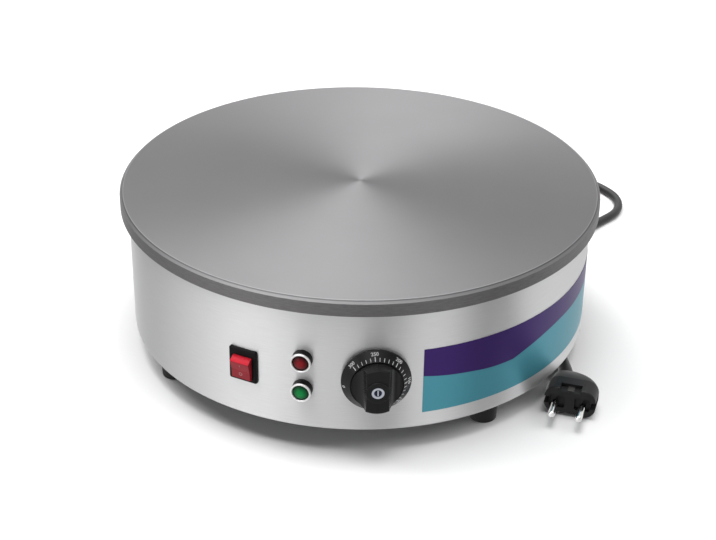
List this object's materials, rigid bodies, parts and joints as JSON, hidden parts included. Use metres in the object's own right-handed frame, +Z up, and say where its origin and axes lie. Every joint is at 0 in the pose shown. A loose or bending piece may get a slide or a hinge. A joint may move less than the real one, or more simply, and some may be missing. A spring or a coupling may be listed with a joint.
{
  "type": "electric crepe maker",
  "caption": "Round electric griddle on a steel drum with a rocker switch, pilot lamps and a thermostat knob; the knob turns and the rocker tilts.",
  "frame": {"origin": "on the table, under the middle of the drum", "axes": "+Z up, -Y towards the controls at the front, +X to the right of someone facing the controls"},
  "size_m": [0.3661, 0.49, 0.1217],
  "materials": {
    "cast_plate": "machined",
    "element_steel": "matt oxidised",
    "zinc_steel": "zinc plated",
    "terminal_brass": "bright",
    "mineral_wool": "matt",
    "drum_stainless": "brushed",
    "decal_film": "gloss",
    "foot_rubber": "matt",
    "switch_black": "satin",
    "rocker_red": "gloss",
    "lamp_black": "satin",
    "lamp_chrome": "polished",
    "lens_red": "clear",
    "lens_green": "clear",
    "knob_black": "satin",
    "insert_grey": "satin",
    "shaft_steel": "plain",
    "control_body": "matt",
    "sensor_copper": "plain",
    "gland_black": "satin",
    "cord_black": "satin",
    "tie_black": "satin",
    "plug_black": "satin",
    "pin_nickel": "polished"
  },
  "bodies": {
    "base": {"griddle_plate": "cast_plate", "heating_element": "element_steel", "element_clamp": "zinc_steel", "heat_shield": "zinc_steel", "tie_rods": "zinc_steel", "tie_rod_nuts": "zinc_steel", "foot_screws": "zinc_steel", "foot_nuts": "zinc_steel", "thermostat_screws": "zinc_steel", "base_plate": "zinc_steel", "earth_stud": "zinc_steel", "element_tabs": "terminal_brass", "switch_terminals": "terminal_brass", "thermostat_tabs": "terminal_brass", "plug_earth_strips": "terminal_brass", "insulation_disc": "mineral_wool", "drum_shell": "drum_stainless", "side_decal": "decal_film", "foot_front_left": "foot_rubber", "foot_front_right": "foot_rubber", "foot_rear_left": "foot_rubber", "foot_rear_right": "foot_rubber", "switch_housing": "switch_black", "red_lamp_body": "lamp_black", "green_lamp_body": "lamp_black", "red_lamp_nut": "lamp_black", "green_lamp_nut": "lamp_black", "red_lamp_ring": "lamp_chrome", "green_lamp_ring": "lamp_chrome", "red_lamp_lens": "lens_red", "green_lamp_lens": "lens_green", "thermostat_body": "control_body", "terminal_block": "control_body", "thermostat_sensor": "sensor_copper", "gland_body": "gland_black", "gland_cap": "gland_black", "gland_locknut": "gland_black", "cord_boot": "cord_black", "cord_supply_lead": "cord_black", "cord_coil": "cord_black", "cord_plug_lead": "cord_black", "cord_tie": "tie_black", "plug_body": "plug_black", "plug_pins": "pin_nickel"},
    "knob": {"thermostat_knob": "knob_black", "knob_insert": "insert_grey", "thermostat_shaft": "shaft_steel"},
    "rocker": {"switch_rocker": "rocker_red"}
  },
  "joints": [
    {"name": "knob_turn", "type": "hinge", "parent": "base", "child": "knob", "pos_m": [0.04828, -0.16196, 0.0597], "axis": [0.2857, -0.9583, 0], "range_deg": [-50, 235]},
    {"name": "rocker_tilt", "type": "hinge", "parent": "base", "child": "rocker", "pos_m": [-0.04203, -0.16369, 0.0562], "axis": [-0.9686, 0.2487, 0], "range_deg": [0, 20]}
  ]
}
